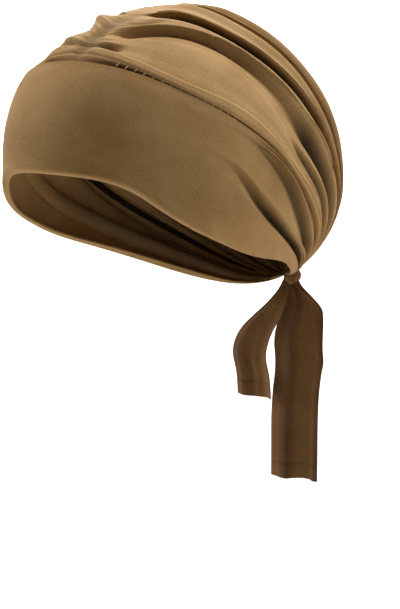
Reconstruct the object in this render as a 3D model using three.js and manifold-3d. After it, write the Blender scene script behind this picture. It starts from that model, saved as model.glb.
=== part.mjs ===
// Pre-tied head cover in stretch jersey: a wide double band round the forehead,
// two gathered crown panels that meet at a ruched centre seam, a knot at the nape and two tails.
// Millimetres, +Z up, the face looks along -Y, the wearer's left is +X.
// The origin is the top of the head, where the inside of the crown sits.

import * as THREE from 'three';
import * as BufferGeometryUtils from 'three/addons/utils/BufferGeometryUtils.js';
import Module from 'manifold-3d';

const wasm = await Module();
wasm.setup();

// Driving dimensions
const headCentre = new THREE.Vector3(0, 5, -85);
const napePoint = new THREE.Vector3(0, 99, -161);
const knotCentre = new THREE.Vector3(22, 97, -167);
const knotHalf = new THREE.Vector3(10, 8, 9.5);
const knotSides = 20;
const knotRings = 12;
const strapRise = 0.1;
const strapReach = 0.42;
const gatherPoint = new THREE.Vector3(24, 97, -164);
const gatherTurnStart = 70;
const crownWall = 2.4;
const bandWall = 3.0;
const gap = 0.3;
const bundleLift = 2;
const liftFrom = 150;
const taperReach = 60;
const fabricEnd = 178.5;
const stations = 24;
const stationSoftness = 0.12;
const normalStep = 0.002;
const mergeTolerance = 1e-4;

// Radius of the covered head from its centre, by elevation, to the side, the front and the back
const headRows = [
  { elevation: -60, side: 80, front: 88, back: 98 },
  { elevation: -45, side: 82, front: 96, back: 116 },
  { elevation: -30, side: 84, front: 101, back: 128 },
  { elevation: -15, side: 84, front: 103, back: 136 },
  { elevation: 0, side: 82, front: 103, back: 132 },
  { elevation: 15, side: 83, front: 103, back: 120 },
  { elevation: 30, side: 84, front: 101, back: 108 },
  { elevation: 45, side: 84, front: 94, back: 100 },
  { elevation: 60, side: 84, front: 88, back: 94 },
  { elevation: 75, side: 86, front: 87, back: 90 },
  { elevation: 90, side: 87, front: 87, back: 87 },
];

// Lines that run round the head from the centre line to the knot, in degrees on the head.
// start is the place on the centre line, counted from the front pole, below zero on the forehead.
// turns holds the turn about the pole axis at 30, 60, 90, 120 and 150 degrees from that pole.
// from is where a fold begins to rise, rise is the height of its step and crest its top, in mm.
const lines = {
  lowerEdge: { start: -39, turns: [10, -14, -17.5, -16.5, -11] },
  seam: { start: -3, turns: [2, 3.5, 4.3, 5, 2] },
};
const folds = [
  { name: 'roll', start: 1, turns: [-1, 5.5, 6.5, 7.5, 5], rise: 2.6, crest: 1.8, from: 8 },
  { name: 'crease', start: 6, turns: [12, 14, 13, 14, 9], rise: 3, crest: 1.4, from: 80 },
  { name: 'first', start: 14, turns: [43, 27, 23.5, 21, 14], rise: 6.5, crest: 1.8, from: 14 },
  { name: 'second', start: 20, turns: [61, 38, 28, 26, 19], rise: 6.5, crest: 2, from: 20 },
  { name: 'third', start: 31, turns: [66, 48, 33, 31, 25], rise: 6, crest: 2.4, from: 31 },
  { name: 'fourth', start: 46, turns: [74, 64, 42, 37, 32], rise: 6, crest: 2, from: 46 },
  { name: 'fifth', start: 62, turns: [80, 74, 56, 47, 42], rise: 5.5, crest: 1.4, from: 62 },
  { name: 'sixth', start: 78, turns: [86, 84, 76, 62, 55], rise: 5, crest: 1, from: 78 },
];
const backLine = { start: 92, turns: [90, 90, 90, 90, 90] };

// Section of one fold: a tuck, the lip over it, a rounded shoulder and the fall to the next tuck.
// share is how far the row lies from this lip to the next tuck, height is a share of the rise.
const foldSection = [
  { part: 'tuck', share: null, height: -1 },
  { part: 'lip', share: 0, height: 0 },
  { part: 'shoulder', share: 0.34, height: -0.12 },
  { part: 'fall', share: 0.7, height: -0.48 },
];
const turnSpacing = 30;
const tuckStart = 1.8;
const tuckTurn = 3.6;
const rucheDepth = 5;
const topRucheDepth = 1;
const rucheReach = 24;
const rucheShare = 0.35;
const rucheDeepTo = 16;
const rucheFade = 24;
const seamHeight = -1.2;
const backHeight = -1.5;

// Relief of the band from the lower edge (0) to the seam (1), in mm: at the front and by the knot
const bandSection = [
  { share: 0, front: -1.6, knot: -2 },
  { share: 0.07, front: 0, knot: 0.6 },
  { share: 0.2, front: 0.2, knot: 2.2 },
  { share: 0.34, front: 0, knot: -2.6 },
  { share: 0.5, front: 0, knot: 2 },
  { share: 0.68, front: 0.2, knot: 0.4 },
  { share: 0.86, front: 0.2, knot: -1.2 },
  { share: 1, front: -0.8, knot: 0 },
];
const creaseFrom = 60;
const creaseFull = 125;

// Tails: places of the middle of the strip, its width and the depth of its lengthwise folds
const tails = [
  {
    name: 'tie_left', turn: 12, waves: 1.5, wall: 2, rows: [
      { x: 23, y: 98, z: -169, width: 9, wave: 1.5 },
      { x: 26, y: 99.5, z: -178, width: 22, wave: 3 },
      { x: 28, y: 101, z: -188, width: 33, wave: 3.5 },
      { x: 27.5, y: 101, z: -206, width: 35, wave: 3 },
      { x: 26.5, y: 100.5, z: -235, width: 35, wave: 2.6 },
      { x: 26, y: 100, z: -262, width: 34, wave: 2.6 },
      { x: 26, y: 100, z: -288, width: 34, wave: 3 },
    ],
  },
  {
    name: 'tie_right', turn: -8, waves: 1, wall: 2, rows: [
      { x: 18, y: 95, z: -170, width: 7, wave: 1 },
      { x: 9, y: 94, z: -181, width: 17, wave: 1.6 },
      { x: 0, y: 93, z: -194, width: 26, wave: 2.2 },
      { x: -5, y: 92.5, z: -210, width: 29, wave: 2.4 },
      { x: -6, y: 92.5, z: -226, width: 29, wave: 2.4 },
      { x: -6, y: 92.5, z: -240, width: 29, wave: 2.2 },
    ],
  },
];
const tailSteps = 12;
const tailStrips = 8;

const colours = {
  front_band: 0x8b6d48,
  crown_left: 0xa98962,
  crown_right: 0xa98962,
  knot: 0x7a5c3a,
  tie_left: 0x6d5030,
  tie_right: 0x6d5030,
};

const { degToRad, radToDeg, clamp, lerp } = THREE.MathUtils;

function smooth(x) {
  const c = clamp(x, 0, 1);
  return c * c * (3 - 2 * c);
}

// Smooth curve through evenly spaced values (Catmull-Rom), held level past both ends
function throughValues(values, place) {
  const last = values.length - 1;
  const p = clamp(place, 0, last);
  const i = Math.min(Math.floor(p), last - 1);
  const f = p - i;
  const a = values[Math.max(i - 1, 0)];
  const b = values[i];
  const c = values[i + 1];
  const d = values[Math.min(i + 2, last)];
  const bend = f * (2 * a - 5 * b + 4 * c - d + f * (3 * b - a - 3 * c + d));
  return b + 0.5 * f * (c - a + bend);
}

// Surface of the covered head in one direction from its centre
function headPoint(direction) {
  const elevation = radToDeg(Math.asin(clamp(direction.z, -1, 1)));
  const place = (elevation - headRows[0].elevation) / (headRows[1].elevation - headRows[0].elevation);
  const side = throughValues(headRows.map((row) => row.side), place);
  const along = direction.y < 0 ? 'front' : 'back';
  const length = throughValues(headRows.map((row) => row[along]), place);
  const flat = Math.hypot(direction.x, direction.y) || 1;
  const radius = 1 / Math.hypot(direction.x / flat / side, direction.y / flat / length);
  return direction.clone().multiplyScalar(radius).add(headCentre);
}

function headNormal(direction) {
  const notAlong = Math.abs(direction.z) < 0.9 ? new THREE.Vector3(0, 0, 1) : new THREE.Vector3(0, 1, 0);
  const across = notAlong.cross(direction).normalize();
  const along = new THREE.Vector3().crossVectors(direction, across);
  const moved = (axis, s) => headPoint(direction.clone().addScaledVector(axis, s).normalize());
  const a = moved(across, normalStep).sub(moved(across, -normalStep));
  const b = moved(along, normalStep).sub(moved(along, -normalStep));
  const normal = a.cross(b).normalize();
  return normal.dot(direction) < 0 ? normal.negate() : normal;
}

// Pole axis from the forehead to the nape, and the turn that carries the lines to the knot
const poleBack = napePoint.clone().sub(headCentre).normalize();
const poleFront = poleBack.clone().negate();
const sideAxis = new THREE.Vector3(1, 0, 0);
const crownAxis = new THREE.Vector3().crossVectors(poleFront, sideAxis);
if (crownAxis.z < 0) crownAxis.negate();
const gatherDirection = gatherPoint.clone().sub(headCentre).normalize();
const gatherAxis = new THREE.Vector3().crossVectors(poleBack, gatherDirection).normalize();
const gatherAngle = poleBack.angleTo(gatherDirection);

function directionAt(fromPole, turn, hand) {
  const a = degToRad(fromPole);
  const t = degToRad(turn);
  const d = poleFront.clone().multiplyScalar(Math.cos(a));
  d.addScaledVector(sideAxis, hand * Math.sin(a) * Math.cos(t));
  d.addScaledVector(crownAxis, Math.sin(a) * Math.sin(t));
  const share = smooth((fromPole - gatherTurnStart) / (180 - gatherTurnStart));
  return d.applyAxisAngle(gatherAxis, gatherAngle * share);
}

function sideTurn(line, fromPole) {
  const values = [line.turns[0], ...line.turns, line.turns.at(-1)];
  return throughValues(values, fromPole / turnSpacing);
}

// A line leaves the centre line square to it and then swings round to its side turn
function turnAt(line, fromPole) {
  const side = line.start < 0 ? -1 : 1;
  const base = sideTurn(line, fromPole);
  const share = Math.asin(Math.min(1, Math.abs(line.start) / Math.max(fromPole, 0.001))) / (Math.PI / 2);
  return base + (90 * side - base) * share;
}

function blendLines(a, b, share) {
  return {
    start: lerp(a.start, b.start, share),
    turns: a.turns.map((turn, i) => lerp(turn, b.turns[i], share)),
  };
}

// Stations are close together at the centre line and even further on
function fromPoleAt(line, t) {
  const soft = stationSoftness;
  const share = (Math.hypot(t, soft) - soft) / (Math.hypot(1, soft) - soft);
  const start = Math.abs(line.start);
  return start + (fabricEnd - start) * share;
}

function liftAt(fromPole) {
  return bundleLift * smooth((fromPole - liftFrom) / (fabricEnd - liftFrom));
}

function taperAt(fromPole) {
  return smooth((180 - fromPole) / taperReach);
}

// The seam is drawn in most over the forehead and least over the top of the head
function rucheAt(line) {
  return lerp(rucheDepth, topRucheDepth, smooth((line.start - rucheDeepTo) / rucheFade));
}

// Rows of one crown panel, from the band seam to the centre line
function crownRows() {
  const rows = [{ ...lines.seam, height: () => seamHeight }];
  const tuckOf = (fold) => ({
    start: fold.start - tuckStart,
    turns: fold.turns.map((turn) => turn - tuckTurn),
  });
  folds.forEach((fold, index) => {
    const next = index + 1 < folds.length ? tuckOf(folds[index + 1]) : backLine;
    for (const section of foldSection) {
      if (fold.name === 'roll' && section.part === 'tuck') continue;
      const row = section.share === null ? tuckOf(fold) : blendLines(fold, next, section.share);
      row.height = (fromPole) => {
        const grown = smooth((fromPole - fold.from) / rucheReach);
        const level = fold.crest + fold.rise * section.height;
        const pulled = -rucheAt(row) + rucheShare * level;
        const open = fold.name === 'crease' ? grown * level : lerp(pulled, level, grown);
        const near = smooth((fromPole - Math.abs(row.start)) / rucheReach);
        return lerp(pulled, open, near);
      };
      rows.push(row);
    }
  });
  rows.push({ ...backLine, height: () => backHeight });
  return rows;
}

function bandRows() {
  return bandSection.map((section) => {
    const row = blendLines(lines.lowerEdge, lines.seam, section.share);
    row.height = (fromPole) => {
      const near = smooth((fromPole - creaseFrom) / (creaseFull - creaseFrom));
      return lerp(section.front, section.knot, near);
    };
    return row;
  });
}

// Closed cloth wall from an outer and an inner grid of points, both with columns of equal length
function wallGeometry(outer, inner) {
  const columns = outer.length;
  const rows = outer[0].length;
  const positions = [];
  const index = [];
  for (const grid of [outer, inner]) {
    for (const column of grid) {
      for (const point of column) positions.push(point.x, point.y, point.z);
    }
  }
  const at = (layer, c, r) => (layer * columns + c) * rows + r;
  const quad = (a, b, c, d) => index.push(a, b, c, a, c, d);
  for (let c = 0; c + 1 < columns; c += 1) {
    for (let r = 0; r + 1 < rows; r += 1) {
      quad(at(0, c, r), at(0, c + 1, r), at(0, c + 1, r + 1), at(0, c, r + 1));
      quad(at(1, c, r), at(1, c, r + 1), at(1, c + 1, r + 1), at(1, c + 1, r));
    }
    quad(at(0, c, 0), at(1, c, 0), at(1, c + 1, 0), at(0, c + 1, 0));
    quad(at(0, c + 1, rows - 1), at(1, c + 1, rows - 1), at(1, c, rows - 1), at(0, c, rows - 1));
  }
  const last = columns - 1;
  for (let r = 0; r + 1 < rows; r += 1) {
    quad(at(0, 0, r + 1), at(1, 0, r + 1), at(1, 0, r), at(0, 0, r));
    quad(at(0, last, r), at(1, last, r), at(1, last, r + 1), at(0, last, r + 1));
  }
  const geometry = new THREE.BufferGeometry();
  geometry.setAttribute('position', new THREE.Float32BufferAttribute(positions, 3));
  geometry.setIndex(index);
  return outwards(geometry);
}

// Turns a closed geometry's triangles round if its faces point inwards
function outwards(geometry) {
  const p = geometry.attributes.position;
  const index = geometry.index.array;
  const [a, b, c] = [new THREE.Vector3(), new THREE.Vector3(), new THREE.Vector3()];
  let volume = 0;
  for (let i = 0; i < index.length; i += 3) {
    a.fromBufferAttribute(p, index[i]);
    b.fromBufferAttribute(p, index[i + 1]);
    c.fromBufferAttribute(p, index[i + 2]);
    volume += a.dot(b.cross(c));
  }
  if (volume < 0) {
    for (let i = 0; i < index.length; i += 3) {
      [index[i], index[i + 1]] = [index[i + 1], index[i]];
    }
  }
  return geometry;
}

// Outer and inner point of a row at one station, on one hand of the head
function wallPoints(row, t, hand, wall) {
  const fromPole = fromPoleAt(row, t);
  const direction = directionAt(fromPole, turnAt(row, fromPole), hand);
  const normal = headNormal(direction);
  const height = liftAt(fromPole) + taperAt(fromPole) * row.height(fromPole);
  const outer = headPoint(direction).addScaledVector(normal, height);
  const inner = outer.clone().addScaledVector(normal, -wall);
  return { outer, inner, fromPole };
}

// Moves an edge row back towards its neighbour by half of the gap between two pieces
function drawBack(grid, edge, neighbour) {
  const away = grid.outer[neighbour].clone().sub(grid.outer[edge]).normalize().multiplyScalar(gap / 2);
  grid.outer[edge].add(away);
  grid.inner[edge].add(away);
}

function crownGeometry(hand) {
  const rows = crownRows();
  const outer = [];
  const inner = [];
  for (let s = 0; s <= stations; s += 1) {
    const t = s / stations;
    const points = rows.map((row) => wallPoints(row, t, hand, crownWall));
    const column = { outer: points.map((p) => p.outer), inner: points.map((p) => p.inner) };
    drawBack(column, 0, 1);
    const last = points.length - 1;
    const turned = smooth((points[last].fromPole - gatherTurnStart) / (180 - gatherTurnStart));
    const sideways = sideAxis.clone().applyAxisAngle(gatherAxis, gatherAngle * turned);
    const edge = s === 0 ? points.map((_, i) => i) : [last];
    for (const i of edge) {
      column.outer[i].addScaledVector(sideways, hand * gap / 2);
      column.inner[i].addScaledVector(sideways, hand * gap / 2);
    }
    outer.push(column.outer);
    inner.push(column.inner);
  }
  return wallGeometry(outer, inner);
}

function bandGeometry() {
  const rows = bandRows();
  const outer = [];
  const inner = [];
  for (let s = -stations; s <= stations; s += 1) {
    const t = Math.abs(s) / stations;
    const hand = s < 0 ? -1 : 1;
    const points = rows.map((row) => wallPoints(row, t, hand, bandWall));
    const column = { outer: points.map((p) => p.outer), inner: points.map((p) => p.inner) };
    drawBack(column, rows.length - 1, rows.length - 2);
    outer.push(column.outer);
    inner.push(column.inner);
  }
  return wallGeometry(outer, inner);
}

// A knot: an egg-shaped lump with a strap of cloth wrapped round its middle
function knotGeometry(grow) {
  const geometry = new THREE.SphereGeometry(1, knotSides, knotRings);
  geometry.deleteAttribute('normal');
  geometry.deleteAttribute('uv');
  const merged = BufferGeometryUtils.mergeVertices(geometry, mergeTolerance);
  const p = merged.attributes.position;
  const point = new THREE.Vector3();
  for (let i = 0; i < p.count; i += 1) {
    point.fromBufferAttribute(p, i);
    const strap = 1 + strapRise * Math.exp(-((point.x / strapReach) ** 2));
    p.setXYZ(
      i,
      knotCentre.x + point.x * (knotHalf.x + grow),
      knotCentre.y + point.y * (knotHalf.y + grow) * strap,
      knotCentre.z + point.z * (knotHalf.z + grow) * strap,
    );
  }
  return outwards(merged);
}

// A tail: a strip of cloth with lengthwise folds, carried along its rows
function tailGeometry(tail) {
  const outer = [];
  const inner = [];
  const turn = degToRad(tail.turn);
  const widthAxis = new THREE.Vector3(Math.cos(turn), Math.sin(turn), 0);
  const faceAxis = new THREE.Vector3(-Math.sin(turn), Math.cos(turn), 0);
  for (let s = 0; s <= tailSteps; s += 1) {
    const place = s / tailSteps * (tail.rows.length - 1);
    const at = (key) => throughValues(tail.rows.map((row) => row[key]), place);
    const middle = new THREE.Vector3(at('x'), at('y'), at('z'));
    const front = [];
    const back = [];
    for (let w = 0; w <= tailStrips; w += 1) {
      const across = w / tailStrips - 0.5;
      const wave = at('wave') * Math.sin(across * tail.waves * 2 * Math.PI);
      const point = middle.clone().addScaledVector(widthAxis, across * at('width'));
      front.push(point.clone().addScaledVector(faceAxis, wave - tail.wall / 2));
      back.push(point.clone().addScaledVector(faceAxis, wave + tail.wall / 2));
    }
    outer.push(front);
    inner.push(back);
  }
  return wallGeometry(outer, inner);
}

function toSolid(geometry) {
  const vertProperties = new Float32Array(geometry.attributes.position.array);
  const triVerts = new Uint32Array(geometry.index.array);
  return new wasm.Manifold(new wasm.Mesh({ numProp: 3, vertProperties, triVerts }));
}

function toGeometry(solid) {
  const mesh = solid.getMesh();
  const geometry = new THREE.BufferGeometry();
  geometry.setAttribute('position', new THREE.BufferAttribute(new Float32Array(mesh.vertProperties), 3));
  geometry.setIndex(new THREE.BufferAttribute(new Uint32Array(mesh.triVerts), 1));
  return geometry;
}

// Each piece of cloth ends a hair short of the knot that gathers it
const knotRoom = toSolid(knotGeometry(gap));
const trimmed = (geometry) => toGeometry(toSolid(geometry).subtract(knotRoom));

const headCover = new THREE.Group();

function addPiece(name, geometry) {
  const material = new THREE.MeshStandardMaterial({ color: colours[name], roughness: 0.85, metalness: 0 });
  const mesh = new THREE.Mesh(geometry, material);
  mesh.name = name;
  headCover.add(mesh);
}

addPiece('front_band', trimmed(bandGeometry()));
addPiece('crown_left', trimmed(crownGeometry(1)));
addPiece('crown_right', trimmed(crownGeometry(-1)));
addPiece('knot', knotGeometry(0));
for (const tail of tails) addPiece(tail.name, trimmed(tailGeometry(tail)));

export default headCover;
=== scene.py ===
import math

import bmesh
import bpy
import numpy as np
from mathutils import Matrix, Vector


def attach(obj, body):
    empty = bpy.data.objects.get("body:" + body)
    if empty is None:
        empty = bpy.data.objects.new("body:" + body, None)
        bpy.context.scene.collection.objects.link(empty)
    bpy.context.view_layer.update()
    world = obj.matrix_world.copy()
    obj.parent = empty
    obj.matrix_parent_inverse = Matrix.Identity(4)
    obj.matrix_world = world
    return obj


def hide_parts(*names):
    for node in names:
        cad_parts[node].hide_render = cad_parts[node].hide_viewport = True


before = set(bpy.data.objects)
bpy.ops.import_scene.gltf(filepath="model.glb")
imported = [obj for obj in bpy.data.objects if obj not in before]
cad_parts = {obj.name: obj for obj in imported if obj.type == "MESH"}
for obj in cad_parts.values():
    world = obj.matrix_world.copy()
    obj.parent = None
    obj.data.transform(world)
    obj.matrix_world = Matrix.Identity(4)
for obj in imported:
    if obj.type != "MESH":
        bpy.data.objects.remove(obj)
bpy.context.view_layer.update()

# Lengths in the settings are millimetres and become metres when a mesh is made.
# The front is along -Y, the wearer's left is +X, and zero is where the crown rests on top.
mm = 0.001


# Camera at the photograph's angle: turned 37 degrees to the wearer's left and 10 degrees up
view = {"turn": 37.0, "rise": 10.0, "distance": 1250.0, "aim": (24.6, 5.4, -167.0), "lens": 130.0}


def addCamera():
    turn = math.radians(view["turn"])
    rise = math.radians(view["rise"])
    back = Vector((math.sin(turn) * math.cos(rise), -math.cos(turn) * math.cos(rise), math.sin(rise)))
    right = Vector((math.cos(turn), math.sin(turn), 0.0))
    up = back.cross(right)
    data = bpy.data.cameras.new("camera")
    data.lens = view["lens"]
    data.sensor_width = 36.0
    data.clip_start = 0.05
    data.clip_end = 60.0
    camera = bpy.data.objects.new("camera", data)
    place = (Vector(view["aim"]) + back * view["distance"]) * mm
    turned = Matrix((right, up, back)).transposed().to_4x4()
    camera.matrix_world = Matrix.Translation(place) @ turned
    bpy.context.scene.collection.objects.link(camera)
    bpy.context.scene.camera = camera


addCamera()
print("camera placed")


# The form that the cap is stretched over. A row is (elevation, side, front, back): its radius
# from headCentre to those three sides. Lines of cloth run over it, and heights are counted from it.
headCentre = np.array((0.0, 5.0, -85.0))
headRows = np.array((
    (-60, 80, 88, 98), (-45, 82, 96, 116), (-30, 84, 101, 128), (-15, 84, 103, 136),
    (0, 82, 103, 132), (15, 83, 103, 120), (30, 84, 101, 108), (45, 84, 94, 100),
    (60, 84, 88, 94), (75, 86, 87, 90), (90, 87, 87, 87)), float)
napePoint = np.array((0.0, 99.0, -161.0))
gatherPoint = np.array((24.0, 97.0, -164.0))
gatherTurnStart = 70.0                    # lines begin to swing towards the knot, in degrees
fabricEnd = 178.5                         # cloth ends in the knot, in degrees from the front pole
knotLift = {"rise": 2.0, "from": 150.0}   # all cloth stands this far off the form at the knot
taperReach = 34.0                         # folds flatten over the last degrees before the knot


def smooth(x):
    c = np.clip(x, 0, 1)
    return c * c * (3 - 2 * c)


def unit(v):
    return v / np.linalg.norm(v, axis=-1, keepdims=True)


def mix(a, b, share):
    return a + (b - a) * share


def throughValues(values, place):
    # Catmull-Rom curve through evenly spaced values, held level past both ends.
    # The values lie along the last axis, and place counts them from 0.
    last = values.shape[-1] - 1
    p = np.clip(place, 0, last)
    i = np.minimum(np.floor(p).astype(int), last - 1)
    f = p - i
    pick = lambda k: np.take_along_axis(np.broadcast_to(values, p.shape[:-1] + values.shape[-1:]), k, -1)
    a, b, c, d = pick(np.maximum(i - 1, 0)), pick(i), pick(i + 1), pick(np.minimum(i + 2, last))
    return b + 0.5 * f * (c - a + f * (2 * a - 5 * b + 4 * c - d + f * (3 * b - a - 3 * c + d)))


def headPoint(direction):
    # Distance from the centre is an ellipse's radius between the side's and the front's or back's
    elevation = np.degrees(np.arcsin(np.clip(direction[..., 2], -1, 1)))
    place = (elevation - headRows[0, 0]) / (headRows[1, 0] - headRows[0, 0])
    side, front, back = (throughValues(headRows[:, k], place) for k in (1, 2, 3))
    along = np.where(direction[..., 1] < 0, front, back)
    flat = np.maximum(np.hypot(direction[..., 0], direction[..., 1]), 1e-9)
    radius = 1 / np.hypot(direction[..., 0] / flat / side, direction[..., 1] / flat / along)
    return headCentre + direction * radius[..., None]


def headNormal(direction):
    # Cross product of two short steps along the surface, turned away from the centre
    step = 0.004
    pole = np.where(np.abs(direction[..., 2:3]) < 0.9, (0.0, 0.0, 1.0), (0.0, 1.0, 0.0))
    across = unit(np.cross(pole, direction))
    along = np.cross(direction, across)
    a, b = (headPoint(unit(direction + step * axis)) - headPoint(unit(direction - step * axis))
            for axis in (across, along))
    normal = unit(np.cross(a, b))
    return normal * np.sign((normal * direction).sum(-1, keepdims=True))


poleBack = unit(napePoint - headCentre)
sideAxis = np.array((1.0, 0.0, 0.0))
crownAxis = np.cross(sideAxis, poleBack)
crownAxis = crownAxis * np.sign(crownAxis[2])
gatherDirection = unit(gatherPoint - headCentre)
gatherAxis = unit(np.cross(poleBack, gatherDirection))
gatherAngle = math.acos(float(poleBack @ gatherDirection))


def gatherShare(fromPole):
    return smooth((fromPole - gatherTurnStart) / (180 - gatherTurnStart))


def swing(vector, angle):
    # Turns vectors round gatherAxis by an angle (Rodrigues' formula)
    c, s = np.cos(angle)[..., None], np.sin(angle)[..., None]
    along = (vector @ gatherAxis)[..., None] * gatherAxis
    return vector * c + np.cross(gatherAxis, vector) * s + along * (1 - c)


def directionAt(fromPole, turn, hand):
    # Direction at an angle from the front pole and a turn about it, swung towards the knot
    a, t = np.radians(fromPole)[..., None], np.radians(turn)[..., None]
    straight = (-poleBack * np.cos(a) + hand * sideAxis * np.sin(a) * np.cos(t)
                + crownAxis * np.sin(a) * np.sin(t))
    return swing(straight, gatherAngle * gatherShare(fromPole))


# A line of cloth runs from the centre line to the knot. It is (start, five turns): the degrees from the
# front pole where it leaves the centre line, and its turns about the pole at 30, 60, 90, 120 and 150.
turnSpacing = 30.0
stationSoftness = 0.12   # less crowds the stations more at the centre line


def turnAt(rows, fromPole):
    # A row leaves the centre line square to it and then swings round to its own turn
    start = rows[:, :1]
    held = np.concatenate((rows[:, 1:2], rows[:, 1:], rows[:, -1:]), 1)
    base = throughValues(held, fromPole / turnSpacing)
    share = np.arcsin(np.minimum(1, np.abs(start) / np.maximum(fromPole, 1e-3))) / (math.pi / 2)
    return base + (90 * np.where(start < 0, -1, 1) - base) * share


def fromPoleAt(rows, t):
    # Stations lie close together at the centre line
    soft = stationSoftness
    share = (np.hypot(t, soft) - soft) / (math.hypot(1, soft) - soft)
    start = np.abs(rows[:, :1])
    return start + (fabricEnd - start) * share


def liftAt(fromPole):
    return knotLift["rise"] * smooth((fromPole - knotLift["from"]) / (fabricEnd - knotLift["from"]))


def taperAt(fromPole):
    return smooth((180 - fromPole) / taperReach)


def splineDown(points, steps):
    # Catmull-Rom curve through the points along the first axis, with so many steps to a span
    last = len(points) - 1
    place = np.linspace(0, last, last * steps + 1)
    i = np.minimum(place.astype(int), last - 1)
    f = (place - i).reshape((-1,) + (1,) * (points.ndim - 1))
    a, b, c, d = (points[np.clip(i + k, 0, last)] for k in (-1, 0, 1, 2))
    return b + 0.5 * f * (c - a + f * (2 * a - 5 * b + 4 * c - d + f * (3 * b - a - 3 * c + d)))


def meshFromGrid(name, points, uv, shade, closedAcross=False):
    # One quad between each four neighbours of a grid (rows, columns, 3) in millimetres.
    # uv holds the cloth's own coordinates in millimetres for the knit pattern, and
    # shade from 0 to 1 is painted shade: it darkens the cloth's colour in folds, gaps and creases where
    # shadow falls. Faces look away from the grid's middle.
    rows, columns = points.shape[:2]
    index = np.arange(rows * columns).reshape(rows, columns)
    if closedAcross:
        index = np.concatenate((index, index[:, :1]), 1)
    quads = np.stack((index[:-1, :-1], index[:-1, 1:], index[1:, 1:], index[1:, :-1]), -1).reshape(-1, 4)
    corners = points.reshape(-1, 3)
    a, b, d = (corners[quads[:, k]] for k in (0, 1, 3))
    middle = corners.mean(0)
    if (np.cross(b - a, d - a) * (a - middle)).sum() < 0:
        quads = quads[:, ::-1]
    mesh = bpy.data.meshes.new(name)
    mesh.vertices.add(len(corners))
    mesh.loops.add(quads.size)
    mesh.polygons.add(len(quads))
    mesh.vertices.foreach_set("co", (corners * mm).astype(np.float32).ravel())
    mesh.loops.foreach_set("vertex_index", quads.astype(np.int32).ravel())
    mesh.polygons.foreach_set("loop_start", np.arange(0, quads.size, 4, dtype=np.int32))
    mesh.polygons.foreach_set("use_smooth", np.ones(len(quads), bool))
    mesh.update(calc_edges=True)
    layer = mesh.uv_layers.new(name="cloth")
    layer.data.foreach_set("uv", (uv.reshape(-1, 2)[quads.ravel()]).astype(np.float32).ravel())
    # The painted shade is kept on each point as the attribute shade
    depth = mesh.attributes.new("shade", "FLOAT", "POINT")
    depth.data.foreach_set("value", np.clip(shade, 0, 1).astype(np.float32).ravel())
    mesh.validate()
    piece = bpy.data.objects.new(name, mesh)
    bpy.context.scene.collection.objects.link(piece)
    return piece


def thicken(piece, wall):
    # The sheet becomes a wall that grows inwards from its outer face
    modifier = piece.modifiers.new("wall", "SOLIDIFY")
    modifier.thickness = wall * mm
    modifier.offset = -1.0
    modifier.use_even_offset = False
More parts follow.
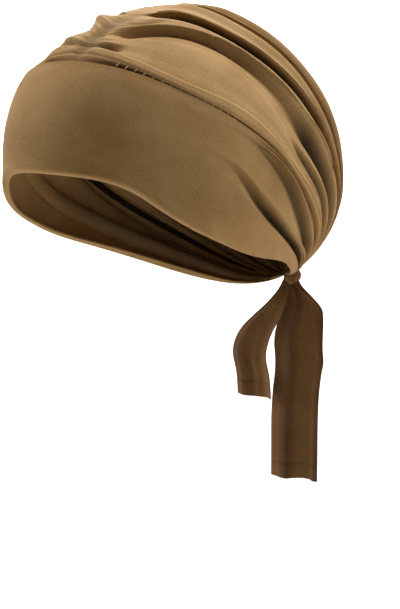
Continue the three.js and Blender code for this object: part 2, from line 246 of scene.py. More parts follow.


# Crown panels. Each row of the table is a line of cloth and its heights over the form in millimetres:
# at the centre seam, along the side and by the knot. A pucker is (height, reach) of a dip beside the
# centre seam, a shade is (side, knot) of painted shade that darkens the cloth's colour in the folds,
# and "then" tells how the cloth runs on to the next row.
# A lump is (place, rise, spread, reach) of a bulge of the far panel beside the centre seam.
crown = {
    "rows": (
        {"name": "seam allowance", "line": (-4, -0.8, 0.8, 1.8, 1.2, 3.4),
         "heights": (-3.4, -3.6, -3.6), "shade": (1.0, 1.0), "then": "soft"},
        {"name": "band seam", "line": (-1.5, 0.8, 2.7, 3.6, 3.1, 5.4),
         "heights": (-2.0, -2.4, -2.4), "shade": (1.0, 1.0), "then": "face"},
        {"name": "roll lip", "line": (1.5, -4.8, 0.1, 2.0, 1.9, 4.4),
         "heights": (0.9, 0.9, 1.0), "then": "round"},
        {"name": "roll crest", "line": (2.6, -4.8, 1.1, 2.2, 2.4, 5.0),
         "heights": (1.9, 1.8, 1.3), "then": "soft"},
        {"name": "roll back", "line": (4, -5.2, 2.0, 2.0, 2.3, 5.0),
         "heights": (2.0, 1.9, 2.0), "then": "face"},
        {"name": "roll foot", "line": (4.8, -4.4, 3.0, 3.0, 3.4, 5.8),
         "heights": (1.6, 0.8, 0.9), "then": "soft"},
        {"name": "first pucker", "line": (5.5, 5, 6.5, 4.6, 4.4, 6.2),
         "heights": (1.2, 0.2, -0.6), "pucker": (-3.2, 11), "then": "even"},
        {"name": "knot crease", "line": (7, 12, 9.4, 5.4, 5.3, 6.4),
         "heights": (2.2, 0.3, 0.1), "then": "even"},
        {"name": "panel", "line": (8.5, 23, 14, 6.4, 6.4, 7.2),
         "heights": (2.0, -0.2, -2.4), "shade": (0, 0.7), "then": "soft"},
        {"name": "knot ridge", "line": (10.2, 34, 20.4, 7.6, 7.9, 8.7),
         "heights": (1.6, -2.1, 2.0), "then": "soft"},
        {"name": "first foot", "line": (12, 44, 26.8, 16.2, 14.0, 12.6),
         "heights": (1.2, -4.7, -6.2), "shade": (0.1, 0.95), "then": "face"},
        {"name": "first lip", "line": (15.5, 42, 27.3, 19.8, 19.5, 14.6),
         "heights": (2.0, 1.8, 2.6), "then": "soft"},
        {"name": "second pucker", "line": (20, 37.5, 22.8, 17.2, 17.5, 14.8),
         "heights": (2.6, 1.7, 2.4), "pucker": (-1.8, 14), "then": "soft"},
        {"name": "first back", "line": (25, 33.5, 19.3, 15.2, 15.8, 15.4),
         "heights": (0.6, 1.8, 1.8), "then": "fall"},
        {"name": "second foot", "line": (32, 55, 28, 19.4, 20, 20.3),
         "heights": (-1.0, -4.6, -5.6), "shade": (0.95, 0.9), "then": "face"},
        {"name": "second lip", "line": (34, 44, 22.4, 16.1, 17.2, 17.6),
         "heights": (-0.8, 2.0, 2.0), "then": "soft"},
        {"name": "second back", "line": (39, 65, 30, 18, 18, 17.6),
         "heights": (-1.0, 0.9, 0.6), "shade": (0.15, 0.3), "then": "soft"},
        {"name": "third lip", "line": (44, 90, 39, 19.5, 17.5, 17.6),
         "heights": (-1.0, 2.2, 1.8), "then": "fall"},
        {"name": "fourth foot", "line": (49, 85, 47, 25.5, 23, 22),
         "heights": (-1.6, -3.8, -5.0), "shade": (0.7, 0.85), "then": "face"},
        {"name": "fourth lip", "line": (51, 85, 42, 22, 20.5, 20),
         "heights": (-0.8, 1.8, 1.4), "then": "fall"},
        {"name": "fifth foot", "line": (60.5, 80, 58, 28, 27, 26),
         "heights": (-1.4, -3.2, -4.0), "shade": (0.5, 0.8), "then": "face"},
        {"name": "fifth lip", "line": (64, 80, 62, 34, 31, 29.5),
         "heights": (-0.4, 1.4, 0.8), "then": "fall"},
        {"name": "sixth foot", "line": (74, 80, 72, 41, 38, 37),
         "heights": (-1.4, -3.0, -3.8), "shade": (0.3, 0.6), "then": "face"},
        {"name": "sixth lip", "line": (78, 80, 75, 48, 44.5, 42.5),
         "heights": (-0.6, 0.8, -0.8), "then": "fall"},
        {"name": "back line", "line": (92, 90, 90, 90, 90, 90),
         "heights": (-1.2, -1.5, -1.5), "then": ""}),
    "seamReach": 9.0, "farSeamReach": 17.0, "shadeReach": 22.0, "knotFrom": 80.0, "knotReach": 28.0,
    "ruchedFrom": -1.0, "ruchedRise": 4.0, "ruchedTo": 34.0, "ruchedFall": 8.0,
    "grooveDepth": 1.3, "grooveReach": 1.1, "grooveShade": 0.45,
    "puckerShade": 0.12, "puckerShadeAt": 4.0, "puckerShadeSpread": 4.0,
    "tuckDepth": 0.4, "tuckSpacing": 3.1, "tuckReach": 3.6, "tuckFrom": 1.5,
    "tuckSway": 0.9, "tuckSwayRate": 0.7,
    "lumps": ((6.5, 2.2, 2.4, 14.0), (12.5, 2.6, 3.4, 16.0), (22.0, 4.8, 5.0, 16.0)),
    "farSink": 2.6, "farSinkFrom": 12.0, "farSinkRise": 10.0, "farSinkTo": 72.0, "farSinkFall": 25.0,
    "farSinkInset": 3.0, "farSinkFade": 8.0,
    "stations": 190, "stepsDown": 2, "wall": 1.0}


# How the cloth runs from one row to the next: shares of the way, and of the rise or fall
runs = {
    "face": ((0, 0), (0.12, 0.1), (0.35, 0.42), (0.6, 0.76), (0.82, 0.95)),
    "fall": ((0, 0), (0.07, 0.03), (0.2, 0.13), (0.42, 0.36), (0.66, 0.62), (0.86, 0.86), (0.95, 0.96)),
    "soft": ((0, 0), (0.2, 0.1), (0.4, 0.35), (0.6, 0.65), (0.8, 0.9)),
    "round": ((0, 0), (0.15, 0.3), (0.4, 0.68), (0.7, 0.93)),
    "even": ((0, 0), (0.2, 0.2), (0.4, 0.4), (0.6, 0.6), (0.8, 0.8))}


noPucker, noShade = (0.0, 12.0), (0.0, 0.0)
shapeColumns = 5   # the heights and the pucker come first, and the shades after them


def rowValues(row):
    # Three heights, the pucker and its reach, then the painted shade along the side and by the knot
    return np.array(row["heights"] + row.get("pucker", noPucker) + row.get("shade", noShade), float)


def clothRows(table):
    # The table's rows with those between them blended: their lines and the values of rowValues.
    # The painted shades follow the square of the rise, so a fold's face stays painted dark up to near its
    # lip.
    lines, heights = [], []
    for here, beyond in zip(table[:-1], table[1:]):
        a, b = (np.array(row["line"], float) for row in (here, beyond))
        low, high = (rowValues(row) for row in (here, beyond))
        for share, rise in runs[here["then"]]:
            lines.append(mix(a, b, share))
            heights.append(np.concatenate((mix(low[:shapeColumns], high[:shapeColumns], rise),
                                           mix(low[shapeColumns:], high[shapeColumns:], rise ** 2))))
    lines.append(np.array(table[-1]["line"], float))
    heights.append(rowValues(table[-1]))
    return np.array(lines), np.array(heights)


def crownPoints(hand):
    lines, heights = clothRows(crown["rows"])
    t = np.linspace(0, 1, crown["stations"])
    fromPole = fromPoleAt(lines, t)
    direction = directionAt(fromPole, turnAt(lines, fromPole), hand)
    start = lines[:, :1]
    away = fromPole - np.abs(start)
    columns = np.split(heights, heights.shape[1], 1)
    seamHeight, side, byKnot, pucker, puckerReach, sideShade, knotShade = columns
    nearKnot = smooth((fromPole - crown["knotFrom"]) / crown["knotReach"])
    # Painted shade: each row's shade darkens the cloth's colour along the side, away from the seam, and by
    # the knot
    shade = mix(sideShade * smooth(away / crown["shadeReach"]), knotShade, nearKnot)
    seamReach = crown["farSeamReach"] if hand < 0 else crown["seamReach"]
    height = mix(seamHeight, side, smooth(away / seamReach))
    height = mix(height, byKnot, nearKnot)
    height = height + pucker * np.sin(math.pi * np.clip(away / puckerReach, 0, 1)) ** 2
    # The centre seam is a groove between the panels, with a small tuck at each stitch, and painted shade
    # darkens the groove. A pucker that dips gets painted shade too, in a bell round the middle of the dip.
    ruched = (smooth((start - crown["ruchedFrom"]) / crown["ruchedRise"])
              * smooth((crown["ruchedTo"] - start) / crown["ruchedFall"]))
    groove = ruched * np.exp(-(away / crown["grooveReach"]) ** 2)
    height = height - crown["grooveDepth"] * groove
    dip = np.exp(-((away - crown["puckerShadeAt"]) / crown["puckerShadeSpread"]) ** 2) * (pucker < 0)
    shade = shade + crown["grooveShade"] * groove - crown["puckerShade"] * pucker * ruched * dip
    sway = crown["tuckSway"] * np.sin(start * crown["tuckSwayRate"] + hand)
    tuck = np.cos(2 * math.pi * start / crown["tuckSpacing"] + sway)
    height = height + (crown["tuckDepth"] * tuck * ruched * np.exp(-away / crown["tuckReach"])
                       * smooth(away / crown["tuckFrom"]))
    if hand < 0:
        for place, rise, spread, reach in crown["lumps"]:
            near = np.exp(-((start - place) / spread) ** 2)
            height = height + rise * near * np.sin(math.pi * np.clip(away / reach, 0, 1))
        sunk = (smooth((fromPole - crown["farSinkFrom"]) / crown["farSinkRise"])
                * smooth((crown["farSinkTo"] - fromPole) / crown["farSinkFall"]))
        sunk = sunk * smooth((away - crown["farSinkInset"]) / crown["farSinkFade"])
        height = height - crown["farSink"] * sunk
    height = liftAt(fromPole) + taperAt(fromPole) * height
    points = headPoint(direction) + headNormal(direction) * height[..., None]
    return splineDown(points, crown["stepsDown"]), splineDown(shade, crown["stepsDown"])


def clothLengths(points):
    # Arc lengths along the columns and rows give the cloth's own coordinates
    along = np.concatenate((np.zeros((points.shape[0], 1)),
                            np.linalg.norm(np.diff(points, axis=1), axis=-1).cumsum(1)), 1)
    across = np.concatenate((np.zeros((1, points.shape[1])),
                             np.linalg.norm(np.diff(points, axis=0), axis=-1).cumsum(0)), 0)
    return np.stack((along, across), -1)


def makeCrown(name, hand):
    points, shade = crownPoints(hand)
    piece = meshFromGrid(name, points, clothLengths(points), shade)
    thicken(piece, crown["wall"])
    return piece


# Band: its rows of cloth from the lower edge to the seam, with heights at the front, the side and the knot,
# and a shade (side, knot) of painted shade. The crease is the trough by the knot and the ridge above it;
# painted shade darkens the trough, the valley and the seam.
band = {
    "rows": (
        {"name": "edge turn", "line": (-39, 10, -14, -17.5, -16.5, -11),
         "heights": (-2.8, -2.8, -3.2), "then": "round"},
        {"name": "edge roll", "line": (-37.2, 9.6, -12.8, -16.4, -15.4, -10.4),
         "heights": (0.5, 0.6, 1.0), "then": "soft"},
        {"name": "edge hem", "line": (-35, 9, -9, -13, -13, -9),
         "heights": (0.0, 0.1, 1.6), "then": "even"},
        {"name": "lower bulge", "line": (-32, 8.4, 13, -0.8, -4.4, -4.9),
         "heights": (0.0, 0.1, 2.6), "then": "soft"},
        {"name": "trough", "line": (-28, 7.6, 14, 0.4, -4, -2.4),
         "heights": (0.0, 0.0, -6.6), "shade": (0.0, 0.8), "then": "face"},
        {"name": "crease ridge", "line": (-22.4, 6.4, 8.6, -1.4, -4, -2.8),
         "heights": (0, 0.2, 4.6), "then": "face"},
        {"name": "ridge back", "line": (-19.5, 5.9, 8.8, 1.2, -3.0, -2.5),
         "heights": (0, 0.1, 1.2), "then": "even"},
        {"name": "valley", "line": (-13, 4.4, 9.6, 7.4, 0.6, -1.6),
         "heights": (0.2, 0.1, -3.6), "shade": (0, 0.6), "then": "soft"},
        {"name": "upper ridge", "line": (-7, 3.2, 5, 5.2, 0.5, -0.5),
         "heights": (0.4, 0.4, 2.8), "then": "soft"},
        {"name": "below the seam", "line": (-4.2, 3.2, 3.0, 3.6, 2.4, 3.2),
         "heights": (0.3, 0.5, -1), "shade": (0.0, 0.2), "then": "soft"},
        {"name": "seam ridge", "line": (-2.4, 1.6, 3.0, 3.7, 3.1, 5.2),
         "heights": (0.4, 0.6, 1.9), "then": "face"},
        {"name": "seam", "line": (-1.5, 0.8, 2.7, 3.6, 3.1, 5.4),
         "heights": (-2.0, -2.4, -2.4), "shade": (1.0, 1.0), "then": ""}),
    "creaseFrom": 58.0, "creaseReach": 52.0, "sideFrom": 30.0, "sideReach": 30.0,
    "stations": 190, "stepsDown": 2, "wall": 1.8}


def makeBand():
    # Stations run from one hand over the front to the other
    lines, heights = clothRows(band["rows"])
    t = np.linspace(0, 1, band["stations"])
    halves, shades = [], []
    for hand in (-1, 1):
        fromPole = fromPoleAt(lines, t)
        direction = directionAt(fromPole, turnAt(lines, fromPole), hand)
        atFront, side, byKnot, sideShade, knotShade = (heights[:, k:k + 1] for k in (0, 1, 2, 5, 6))
        nearKnot = smooth((fromPole - band["creaseFrom"]) / band["creaseReach"])
        height = mix(atFront, side, smooth((fromPole - band["sideFrom"]) / band["sideReach"]))
        height = mix(height, byKnot, nearKnot)
        height = liftAt(fromPole) + taperAt(fromPole) * height
        points = headPoint(direction) + headNormal(direction) * height[..., None]
        halves.append(splineDown(points, band["stepsDown"]))
        # Painted shade along the band, darkest in the seam and, by the knot, in the crease
        shades.append(splineDown(mix(sideShade, knotShade, nearKnot), band["stepsDown"]))
    points = np.concatenate((halves[0][:, :0:-1], halves[1]), 1)
    shade = np.concatenate((shades[0][:, :0:-1], shades[1]), 1)
    piece = meshFromGrid("front_band_cloth", points, clothLengths(points), shade)
    thicken(piece, band["wall"])
    return piece


bandPiece = makeBand()
crownPieces = [makeCrown("crown_left_cloth", 1), makeCrown("crown_right_cloth", -1)]
print("band and crown made")


# Knot: a lump of wound cloth with a strap round its middle
knot = {
    "centre": (24.6, 97.6, -162.0), "half": (5.6, 5.0, 4.8), "strapRise": 0.16, "strapReach": 0.4,
    "strapEdge": 0.08, "strapTilt": 0.08, "grooveDepth": 0.1, "grooveWidth": 0.06,
    "strapPleats": 3, "strapSway": 0.3, "lumpPleats": 9, "lumpSway": 1.5, "pleat": 0.035,
    "shade": 0.25, "reliefShade": 1.2, "endShade": 0.6, "girth": 9.0, "length": 28.0, "smallestRing": 0.02,
    "rings": 90, "sides": 140}


def makeKnot():
    # An egg of three half sizes. Its radius is raised where the strap lies, cut by a groove on each
    # side of the strap, and rippled along the strap and, outside it, towards the two ends.
    along = np.linspace(-math.pi / 2, math.pi / 2, knot["rings"])[:, None]
    turn = np.linspace(0, 2 * math.pi, knot["sides"], endpoint=False)[None, :]
    x = np.sin(along) + 0 * turn
    edge = np.abs(x + knot["strapTilt"] * np.sin(turn)) - knot["strapReach"]
    strap = smooth(-edge / knot["strapEdge"] + 0.5)
    groove = knot["grooveDepth"] * np.exp(-(edge / knot["grooveWidth"]) ** 2)
    sway = np.sin(2 * turn)
    strapWave = x / knot["strapReach"] * math.pi * knot["strapPleats"] / 2
    strapRipple = np.cos(strapWave + knot["strapSway"] * sway)
    lumpRipple = np.cos(turn * knot["lumpPleats"] + knot["lumpSway"] * sway)
    ripple = mix(lumpRipple * np.cos(along) ** 0.5, strapRipple, strap) * knot["pleat"]
    size = 1 + knot["strapRise"] * strap - groove + ripple
    ring = np.maximum(np.cos(along), knot["smallestRing"])
    shape = np.stack((x + 0 * size, ring * np.sin(turn) * size, ring * np.cos(turn) * size), -1)
    points = np.array(knot["centre"]) + shape * np.array(knot["half"])
    ends = np.stack([np.broadcast_to(points[k].mean(0), points[k].shape) for k in (0, -1)])
    points = np.concatenate((ends[:1], points, ends[1:]), 0)
    lengthwise = np.linspace(0, knot["length"], len(points))[:, None]
    lengths = np.stack(np.broadcast_arrays(turn * knot["girth"], lengthwise), -1)
    # Painted shade: the whole knot is darkened, more in the grooves beside the strap, in the hollows of the
    # ripples and at its two ends
    shade = knot["shade"] + knot["reliefShade"] * (groove - ripple)
    shade = np.pad(shade, ((1, 1), (0, 0)), constant_values=knot["endShade"])
    piece = meshFromGrid("knot_cloth", points, lengths, shade, closedAcross=True)
    weld(piece)
    return piece


def weld(piece):
    # Merges doubled vertices at a pole and turns the faces outwards
    work = bmesh.new()
    work.from_mesh(piece.data)
    bmesh.ops.remove_doubles(work, verts=work.verts, dist=1e-6)
    bmesh.ops.recalc_face_normals(work, faces=work.faces)
    work.to_mesh(piece.data)
    work.free()


# Tails: each is a strip of doubled cloth. A row is (x, y, z, width, wave): its middle, its width and the
# depth of its waves. A pleat is (count, depth, shift), and seamAt is a share of the way down.
tails = {
    "tie_left": {
        "turn": 12.0, "waves": 1.5, "wall": 1.8, "seamAt": 0.33,
        "rows": ((25.4, 97.8, -163, 6, 0.3), (26, 98.6, -168, 9.5, 0.9), (29, 99.6, -174.5, 18, 1.9),
                 (30.8, 100, -181, 27, 2.8), (29.6, 100, -189, 31.5, 3.2), (28, 100, -198, 34, 3.3),
                 (27.6, 100, -206, 34.5, 3.1), (28.3, 100, -214, 34, 2.8), (27.4, 100, -223, 32.5, 2.6),
                 (25.9, 100, -236, 32.5, 2.5), (25.2, 100, -252, 32.8, 2.5), (25.2, 100, -270, 32.8, 2.6),
                 (25.2, 100, -288, 32.8, 2.8)),
        "pleats": ((3.5, 0.9, 0.3), (6.0, 0.5, 1.7))},
    "tie_right": {
        "turn": -8.0, "waves": 1.0, "wall": 1.8, "seamAt": 0.3,
        "rows": ((22.5, 96.8, -164, 5, 0.3), (19.6, 96.2, -171.5, 8, 0.8), (14.6, 95.4, -180.5, 15, 1.4),
                 (8.5, 94.8, -188.5, 21, 1.9), (2, 94.4, -196.5, 25, 2.2), (-2.5, 94.2, -205, 27, 2.4),
                 (-4.2, 94.2, -214, 27.5, 2.4), (-1.5, 94.2, -226, 27.5, 2.3), (-0.3, 94.2, -239, 27.5, 2.3)),
        "pleats": ((3.0, 0.8, 1.1), (5.0, 0.4, 0.2))},
    "hemAt": 9.0, "hemDepth": 0.5, "hemWidth": 0.8, "seamDepth": 0.35, "seamWidth": 0.006, "thinned": 0.5,
    "edgePower": 0.35, "pleatLeast": 0.35, "pleatMore": 0.65, "pleatReach": 0.25, "pleatDrift": 0.8,
    "shade": 0.16, "waveShade": 0.11, "grooveShade": 0.5, "neckShade": 0.3, "neckReach": 0.05,
    "steps": 150, "sides": 120}


def makeTail(name):
    # A flat tube: its section is a very flat loop across the strip, waved by a few sines.
    # Pleats are deep where the strip leaves the knot and fade down its length. The hem and the
    # cross seam are bell-shaped grooves that thin the strip.
    tail = tails[name]
    rows = np.array(tail["rows"], float)
    place = np.linspace(0, len(rows) - 1, tails["steps"])
    x, y, z, width, wave = (throughValues(rows[:, k], place)[:, None] for k in range(5))
    down = (place / (len(rows) - 1))[:, None]
    loop = np.linspace(0, 2 * math.pi, tails["sides"], endpoint=False)[None, :]
    across = -np.cos(loop) / 2
    side = np.sin(loop)
    face = np.sign(side) * np.abs(side) ** tails["edgePower"] * tail["wall"] / 2
    offset = wave * np.sin(across * tail["waves"] * 2 * math.pi)
    fade = tails["pleatLeast"] + tails["pleatMore"] * np.exp(-down / tails["pleatReach"])
    for count, depth, shift in tail["pleats"]:
        wander = shift + tails["pleatDrift"] * down
        offset = offset + depth * fade * np.sin(across * count * 2 * math.pi + wander)
    fromEnd = z - rows[-1, 2]
    hem = tails["hemDepth"] * np.exp(-((fromEnd - tails["hemAt"]) / tails["hemWidth"]) ** 2)
    join = tails["seamDepth"] * np.exp(-((down - tail["seamAt"]) / tails["seamWidth"]) ** 2)
    face = face * (1 - tails["thinned"] * (hem + join))
    turn = math.radians(tail["turn"])
    widthAxis = np.array((math.cos(turn), math.sin(turn), 0))
    faceAxis = np.array((-math.sin(turn), math.cos(turn), 0))
    middle = np.stack(np.broadcast_arrays(x, y, z), -1)
    points = (middle + (across * width)[..., None] * widthAxis
              + (offset + face)[..., None] * faceAxis)
    centre = middle + (across * width)[..., None] * widthAxis + offset[..., None] * faceAxis
    points = np.concatenate((centre[:1], points, centre[-1:]), 0)
    # Painted shade: the tails are darkened all over, more in the backs of their waves, in the hem and seam
    # grooves and most where they leave the knot, in the shadow under the cap
    paintedTailShade = (tails["shade"] - tails["waveShade"] * offset + tails["grooveShade"] * (hem + join)
           + tails["neckShade"] * np.exp(-down / tails["neckReach"]))
    shade = np.concatenate((paintedTailShade[:1], paintedTailShade, paintedTailShade[-1:]), 0)
    piece = meshFromGrid(name + "_cloth", points, clothLengths(points), shade, closedAcross=True)
    weld(piece)
    return piece


# Seam stitches: short rods of sewing thread across the gap between the band and the crown's roll, on
# both sides of the forehead. The far ones lie as deep as the far panel is sunk.
stitches = {
    "from": 15.0, "to": 60.0, "spacing": 3.1, "slant": 0.7, "radius": 0.36, "rings": 7, "sides": 6,
    "lower": (-2.0, 1.0, 2.8, 3.6, 3.1, 5.3), "lowerHeight": 0.3,
    "upper": (1.5, -4.4, 0.7, 2.3, 2.2, 4.7), "upperHeight": 0.7}


def makeStitches():
    # Each rod runs straight from the band to the crown, and its radius follows a rounded bar's outline
    fromPole = np.arange(stitches["from"], stitches["to"], stitches["spacing"])
    ends = []
    for hand in (-1, 1):
        for line, height, shift in (("lower", "lowerHeight", 0), ("upper", "upperHeight", stitches["slant"])):
            place = (fromPole + shift)[None, :]
            direction = directionAt(place, turnAt(np.array([stitches[line]], float), place), hand)
            sink = crown["farSink"] if hand < 0 else 0.0
            ends.append((headPoint(direction) + headNormal(direction) * (stitches[height] - sink))[0])
    lower = np.concatenate((ends[0], ends[2]))[:, None, None]
    upper = np.concatenate((ends[1], ends[3]))[:, None, None]
    along = np.linspace(0, 1, stitches["rings"])[None, :, None, None]
    turn = np.linspace(0, 2 * math.pi, stitches["sides"], endpoint=False)[None, None, :, None]
    run = unit(upper - lower)
    outward = unit(np.cross(run, np.cross(lower - headCentre, run)))
    radius = stitches["radius"] * (1 - (2 * along - 1) ** 4) ** 0.5
    points = (lower + (upper - lower) * along
              + radius * (outward * np.cos(turn) + np.cross(run, outward) * np.sin(turn)))
    count, rings, sides = points.shape[:3]
    index = np.arange(count * rings * sides).reshape(count, rings, sides)
    beside = np.roll(index, -1, 2)
    quads = np.stack((index[:, :-1], beside[:, :-1], beside[:, 1:], index[:, 1:]), -1).reshape(-1, 4)
    mesh = bpy.data.meshes.new("seam_stitches")
    mesh.from_pydata((points.reshape(-1, 3) * mm).tolist(), [], quads.tolist())
    piece = bpy.data.objects.new("seam_stitches", mesh)
    bpy.context.scene.collection.objects.link(piece)
    weld(piece)
    mesh.polygons.foreach_set("use_smooth", np.ones(len(mesh.polygons), bool))
    return piece


stitchPiece = makeStitches()
knotPiece = makeKnot()
tailPieces = [makeTail("tie_left"), makeTail("tie_right")]
print("knot and tails made")


# Materials
def linear(hexText):
    # sRGB hex to linear values
    values = [int(hexText[i:i + 2], 16) / 255 for i in (1, 3, 5)]
    return [v / 12.92 if v <= 0.04045 else ((v + 0.055) / 1.055) ** 2.4 for v in values] + [1.0]


def addNode(tree, kind, settings=None, links=None):
    # Adds a node with its settings and links. A link's source is (node, output name).
    node = tree.nodes.new(kind)
    for key, value in (settings or {}).items():
        if hasattr(node, key):
            setattr(node, key, value)
        else:
            node.inputs[key].default_value = value
    for key, (source, output) in (links or {}).items():
        tree.links.new(source.outputs[output], node.inputs[key])
    return node


# Viscose jersey: a fine weft knit of dull yarn, so it is matt, with a faint pale bloom where it turns
# away. Real loops are 0.8 mm wide; they are drawn 1.7 mm wide so that they show in the render.
jersey = {
    "loopWidth": 1.7, "loopHeight": 1.4, "loopShare": 0.3, "waleBend": 0.6, "courseBend": 0.8,
    "fuzz": 1.3, "fuzzRoughness": 0.65, "patch": 30.0, "patchRoughness": 0.5, "paleFrom": 0.85, "paleTo": 1.3,
    "relief": 0.12, "reliefStrength": 0.5,
    "roughness": 0.88, "specular": 0.22, "sheen": 0.05, "sheenRoughness": 0.4, "sheenTint": "#d8b27c",
    # The deep colours are painted shade, mixed in where a piece's shade attribute says the cloth lies in
    # shadow
    "band": {"yarn": "#8a693d", "pale": "#9f7e50", "deep": "#1c0d04"},
    "crown": {"yarn": "#98764a", "pale": "#af8d5e", "deep": "#1c0d04"},
    # The tie's yarn is darker than the crown's: in part its own colour, in part painted shade for tails that
    # hang in shadow behind the neck
    "tie": {"yarn": "#694726", "pale": "#7d5a33", "deep": "#1c0d04"}}


waveScale = 2 * math.pi / 20   # the scale at which a wave texture repeats once a unit


def viscoseJersey(name, colours):
    # Height is the product of waves along and across the loops plus fuzz. Colour goes from the yarn to its
    # pale side by fuzz and broad patches, and to the deep colour, a painted shade, by the piece's shade
    # attribute.
    material = bpy.data.materials.new(name)
    material.use_nodes = True
    tree = material.node_tree
    tree.nodes.clear()
    cloth = addNode(tree, "ShaderNodeUVMap", {"uv_map": "cloth"})
    depth = addNode(tree, "ShaderNodeAttribute", {"attribute_name": "shade"})
    onCloth = {"Vector": (cloth, "UV")}
    wales = addNode(tree, "ShaderNodeTexWave",
                    {"bands_direction": "X", "Scale": waveScale / jersey["loopWidth"],
                     "Distortion": jersey["waleBend"], "Detail": 0.0}, onCloth)
    courses = addNode(tree, "ShaderNodeTexWave",
                      {"bands_direction": "Y", "Scale": waveScale / jersey["loopHeight"],
                       "Distortion": jersey["courseBend"], "Detail": 0.0}, onCloth)
    fuzz = addNode(tree, "ShaderNodeTexNoise",
                   {"Scale": 1 / jersey["fuzz"], "Detail": 3.0, "Roughness": jersey["fuzzRoughness"]},
                   onCloth)
    patch = addNode(tree, "ShaderNodeTexNoise",
                    {"Scale": 1 / jersey["patch"], "Detail": 2.0, "Roughness": jersey["patchRoughness"]},
                    onCloth)
    loops = addNode(tree, "ShaderNodeMath", {"operation": "MULTIPLY"})
    tree.links.new(wales.outputs["Fac"], loops.inputs[0])
    tree.links.new(courses.outputs["Fac"], loops.inputs[1])
    height = addNode(tree, "ShaderNodeMath", {"operation": "MULTIPLY_ADD"})
    tree.links.new(loops.outputs["Value"], height.inputs[0])
    height.inputs[1].default_value = jersey["loopShare"]
    tree.links.new(fuzz.outputs["Fac"], height.inputs[2])
    tone = addNode(tree, "ShaderNodeMath", {"operation": "ADD"})
    tree.links.new(height.outputs["Value"], tone.inputs[0])
    tree.links.new(patch.outputs["Fac"], tone.inputs[1])
    paleShare = addNode(tree, "ShaderNodeMapRange",
                        {"From Min": jersey["paleFrom"], "From Max": jersey["paleTo"]},
                        {"Value": (tone, "Value")})
    bloom = addNode(tree, "ShaderNodeMixRGB",
                    {"Color1": linear(colours["yarn"]), "Color2": linear(colours["pale"])},
                    {"Fac": (paleShare, "Result")})
    paintedFoldShade = addNode(tree, "ShaderNodeMixRGB", {"Color2": linear(colours["deep"])},
                      {"Fac": (depth, "Fac"), "Color1": (bloom, "Color")})
    relief = addNode(tree, "ShaderNodeBump",
                     {"Strength": jersey["reliefStrength"], "Distance": jersey["relief"] * mm},
                     {"Height": (height, "Value")})
    shader = addNode(tree, "ShaderNodeBsdfPrincipled",
                     {"Roughness": jersey["roughness"], "Specular IOR Level": jersey["specular"],
                      "Sheen Weight": jersey["sheen"], "Sheen Roughness": jersey["sheenRoughness"],
                      "Sheen Tint": linear(jersey["sheenTint"])},
                     {"Base Color": (paintedFoldShade, "Color"), "Normal": (relief, "Normal")})
    addNode(tree, "ShaderNodeOutputMaterial", links={"Surface": (shader, "BSDF")})
    return material


bandJersey = viscoseJersey("viscose jersey, double", jersey["band"])
crownJersey = viscoseJersey("viscose jersey, gathered", jersey["crown"])
tieJersey = viscoseJersey("viscose jersey, tied", jersey["tie"])
allCloth = [bandPiece, *crownPieces, knotPiece, *tailPieces]
finishes = (("band_jersey", bandJersey, [bandPiece]), ("crown_jersey", crownJersey, crownPieces),
            ("tie_jersey", tieJersey, [knotPiece, *tailPieces]))
for slot, material, pieces in finishes:
    for piece in pieces:
        piece.data.materials.append(material)

# Core-spun polyester sewing thread: a smooth twisted thread with a soft shine
thread = {"colour": "#c4a57a", "deep": "#8d7048", "twist": 0.9, "roughness": 0.5}


def sewingThread():
    # Diagonal waves stand for the twist of the thread
    material = bpy.data.materials.new("polyester sewing thread")
    material.use_nodes = True
    tree = material.node_tree
    tree.nodes.clear()
    place = addNode(tree, "ShaderNodeTexCoord")
    twist = addNode(tree, "ShaderNodeTexWave", {"bands_direction": "DIAGONAL", "Distortion": 0.0,
                                                "Scale": waveScale / (thread["twist"] * mm)},
                    {"Vector": (place, "Object")})
    colour = addNode(tree, "ShaderNodeMixRGB",
                     {"Color1": linear(thread["deep"]), "Color2": linear(thread["colour"])},
                     {"Fac": (twist, "Fac")})
    shader = addNode(tree, "ShaderNodeBsdfPrincipled", {"Roughness": thread["roughness"]},
                     {"Base Color": (colour, "Color")})
    addNode(tree, "ShaderNodeOutputMaterial", links={"Surface": (shader, "BSDF")})
    return material


stitchPiece.data.materials.append(sewingThread())
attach(stitchPiece, "root")

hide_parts("front_band")
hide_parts("crown_left")
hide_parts("crown_right")
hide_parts("knot")
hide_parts("tie_left")
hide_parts("tie_right")
for piece in allCloth:
    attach(piece, "root")
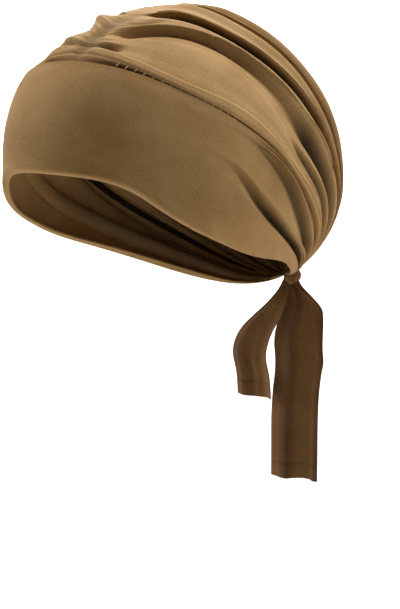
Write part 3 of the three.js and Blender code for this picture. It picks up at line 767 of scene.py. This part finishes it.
# Stage: a pale floor and soft lights, in metres and watts. A lamp is (name, place, aim, size, power).
stage = {
    "floorHalf": 20.0, "floorHeight": -0.62, "floorColour": "#f2f0ec", "floorRoughness": 0.9,
    "worldColour": "#ffffff", "worldStrength": 0.09,
    "lamps": (("top", (-0.05, 0.1, 1.6), (0.0, 0.0, -0.09), 0.9, 26),
              ("left", (-1.7, -0.5, 0.5), (0.0, 0.0, -0.09), 1.0, 23),
              ("right", (1.5, 1.3, 0.75), (0.0, 0.0, -0.09), 0.9, 30),
              ("near backdrop", (-2.2, 3.6, 2.6), (-2.6, 4.0, -0.6), 3.5, 260),
              ("far backdrop", (-7.8, 11.0, 5.0), (-8.2, 11.6, -0.6), 9.0, 2600))}


def addFloor():
    mesh = bpy.data.meshes.new("floor")
    half, low = stage["floorHalf"], stage["floorHeight"]
    mesh.from_pydata([(-half, -half, low), (half, -half, low), (half, half, low), (-half, half, low)],
                     [], [(0, 1, 2, 3)])
    floor = bpy.data.objects.new("floor", mesh)
    bpy.context.scene.collection.objects.link(floor)
    material = bpy.data.materials.new("pale floor")
    material.use_nodes = True
    shader = material.node_tree.nodes["Principled BSDF"]
    shader.inputs["Base Color"].default_value = linear(stage["floorColour"])
    shader.inputs["Roughness"].default_value = stage["floorRoughness"]
    floor.data.materials.append(material)


def addLamp(name, place, aim, size, power):
    data = bpy.data.lights.new(name, "AREA")
    data.shape = "DISK"
    data.size = size
    data.energy = power
    lamp = bpy.data.objects.new(name, data)
    lamp.location = place
    lamp.rotation_euler = (Vector(aim) - Vector(place)).to_track_quat("-Z", "Y").to_euler()
    bpy.context.scene.collection.objects.link(lamp)


addFloor()
for lamp in stage["lamps"]:
    addLamp(*lamp)
world = bpy.data.worlds.new("studio")
world.use_nodes = True
background = world.node_tree.nodes["Background"]
background.inputs["Color"].default_value = linear(stage["worldColour"])
background.inputs["Strength"].default_value = stage["worldStrength"]
bpy.context.scene.world = world
bpy.context.scene.view_settings.view_transform = "Standard"
print("stage and lights set")
